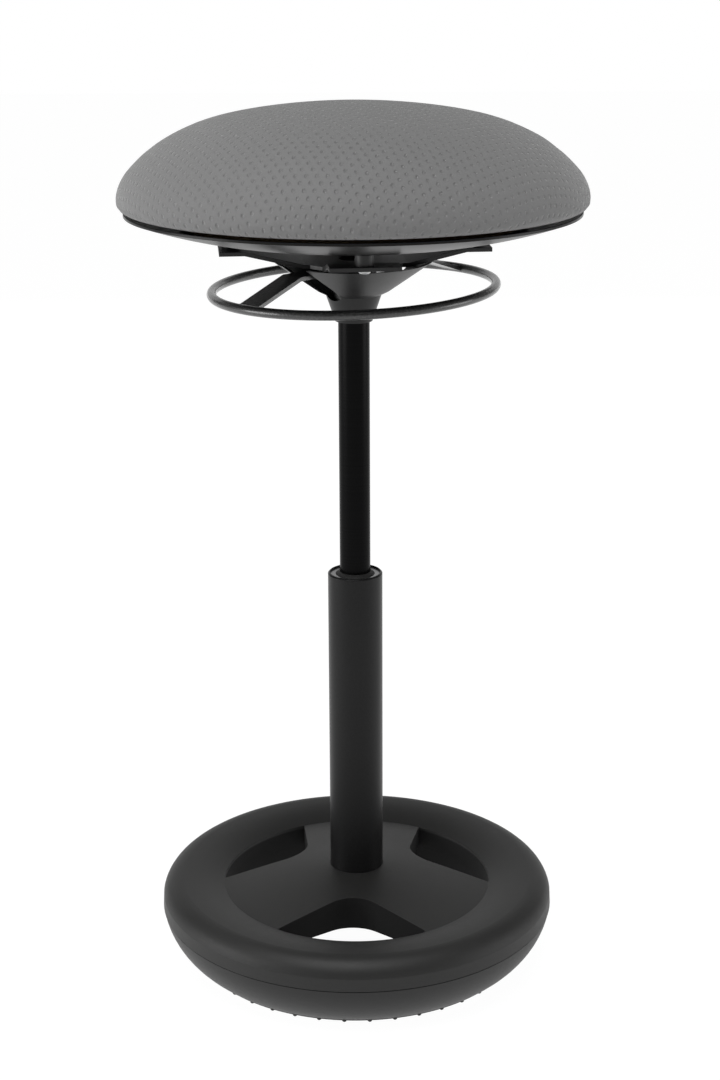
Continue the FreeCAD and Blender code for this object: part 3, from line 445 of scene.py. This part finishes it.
depth_share, half_width, tuck_z = 0.93, 0.2049, 0.7150
dome = [(197.0, 712.3), (202.0, 715.4), (204.9, 720.8), (203.2, 729.9), (199.8, 738.4), (194.7, 746.1),
        (182.0, 759.0), (167.3, 769.7), (152.8, 777.7), (137.7, 784.5), (122.0, 790.0), (104.8, 793.5),
        (87.5, 796.4), (70.0, 798.8), (52.6, 800.7), (35.1, 802.0), (17.5, 802.8), (4.0, 803.0)]
bpy.ops.object.select_all(action="DESELECT")
bpy.ops.mesh.primitive_circle_add(vertices=128, radius=0.178, location=(0, 0, 0.7124), fill_type="NGON")
cushion = bpy.context.object
cushion.name = "knit_cushion"
to_mode(mode="EDIT")
edit.select_all(action="SELECT")
reach, level = 178.0, 712.4
for radius, height in dome:
    edit.extrude_region_move(TRANSFORM_OT_translate={"value": (0, 0, (height - level) / 1000)})
    bpy.ops.transform.resize(value=(radius / reach,) * 2 + (1,), center_override=(0, 0, height / 1000))
    reach, level = radius, height
edit.select_all(action="SELECT")
bpy.ops.transform.resize(value=(1, depth_share, 1), center_override=(0, 0, 0))
edit.normals_make_consistent(inside=False)
to_mode(mode="OBJECT")
bpy.ops.object.transform_apply()

remesh = cushion.modifiers.new("even_mesh", "REMESH")
remesh.mode, remesh.voxel_size = "VOXEL", 0.005
bpy.ops.object.modifier_apply(modifier="even_mesh")
drawn = [vertex.co.copy() for vertex in cushion.data.vertices]
slack = cushion.modifiers.new("slack", "DISPLACE")
slack.strength, slack.mid_level = -0.003, 0.0
bpy.ops.object.modifier_apply(modifier="slack")
held = cushion.vertex_groups.new(name="tucked_edge")
held.add([i for i, co in enumerate(drawn) if co.z < tuck_z], 1.0, "REPLACE")
swell = cushion.modifiers.new("swell", "CLOTH")
swell.settings.use_pressure = True
swell.settings.uniform_pressure_force = 4
swell.settings.vertex_group_mass = "tucked_edge"
swell.settings.effector_weights.gravity = 0
for picture in range(1, 21):
    bpy.context.scene.frame_set(picture)
bpy.ops.object.modifier_apply(modifier="swell")
bpy.context.scene.frame_set(1)
moves = [vertex.co - co for vertex, co in zip(cushion.data.vertices, drawn)]
most = 0.0015
for vertex, co, move in zip(cushion.data.vertices, drawn, moves):
    vertex.co = co + move * min(1.0, most / max(move.length, 1e-9))
cushion.vertex_groups.clear()
relaxed = cushion.modifiers.new("relaxed", "SMOOTH")
relaxed.factor, relaxed.iterations = 0.5, 4
bpy.ops.object.modifier_apply(modifier="relaxed")
finer = cushion.modifiers.new("finer", "SUBSURF")
finer.levels = finer.render_levels = 1
bpy.ops.object.modifier_apply(modifier="finer")
cushion.data.shade_smooth()
widen = half_width / max(vertex.co.x for vertex in cushion.data.vertices)
cushion.data.transform(Matrix.Diagonal((widen, widen, 1, 1)))

crown = 720.8
turns = [math.atan2(z - crown, r) for r, z in dome] + [math.pi / 2]
steps = [math.dist(a, b) for a, b in zip(dome, dome[1:])] + [dome[-1][0]]
along = [sum(steps[i:]) / 1000 for i in range(len(steps))] + [0.0]
knit = cushion.data.attributes.new("knit", "FLOAT_VECTOR", "POINT")
cloth_turn = math.radians(9)
for vertex in cushion.data.vertices:
    x, y, z = vertex.co.x, vertex.co.y / depth_share, vertex.co.z * 1000 - crown
    turn = math.atan2(z, math.hypot(x, y) * 1000)
    reach = along[0]
    for i in range(len(turns) - 1):
        if turns[i] <= turn <= turns[i + 1]:
            share = (turn - turns[i]) / (turns[i + 1] - turns[i])
            reach = along[i] * (1 - share) + along[i + 1] * share
            break
    way = math.atan2(y, x) + cloth_turn
    knit.data[vertex.index].vector = (reach * math.cos(way), reach * math.sin(way), 0)

fabric = Finish("grey_spacer_knit", Sheen_Weight=0.25, Sheen_Roughness=0.4)
cloth = fabric.place.node("Attribute", {"attribute_name": "knit"}, output=1)
dimple_pitch, dimple_row = 0.0090, 0.0076
column_at, row_at = cloth.part("X") / dimple_pitch, cloth.part("Y") / dimple_row
row_number = row_at.math("FLOOR")
odd = (row_number * 0.5).math("FRACT")
across = ((column_at + odd).math("FRACT") - 0.5) * (dimple_pitch * 1000)
down = (row_at.math("FRACT") - 0.5) * (dimple_row * 1000)
spot = (across ** 2 * 0.42 + down ** 2 * 0.22).math("SQRT")
dimple = 1 - spot.between(0.35, 1.30)
stitches = ((cloth.part("X") * (2 * math.pi / 0.0012)).math("SINE")
            * (cloth.part("Y") * (2 * math.pi / 0.0016)).math("SINE"))
lint = fabric.place.noise(700, 3)
# Painted shade: the colour is made a little darker in each dimple; stitches and lint vary the knit's own
# tone.
fabric.paint(colour=(dimple * 0.07 + stitches * 0.10 + lint * 0.4).between(0.0, 1.0).colours(
    (0.172, 0.172, 0.172), (0.105, 0.105, 0.105)),
    roughness=0.70 - dimple * 0.46 + (lint - 0.5) * 0.1,
    height=dimple * -1 + stitches * 0.10 + lint * 0.12, depth=0.0009)
cushion.data.materials.clear()
cushion.data.materials.append(fabric.material)
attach(cushion, "lift")
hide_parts("seat_foam", "seat_cover")
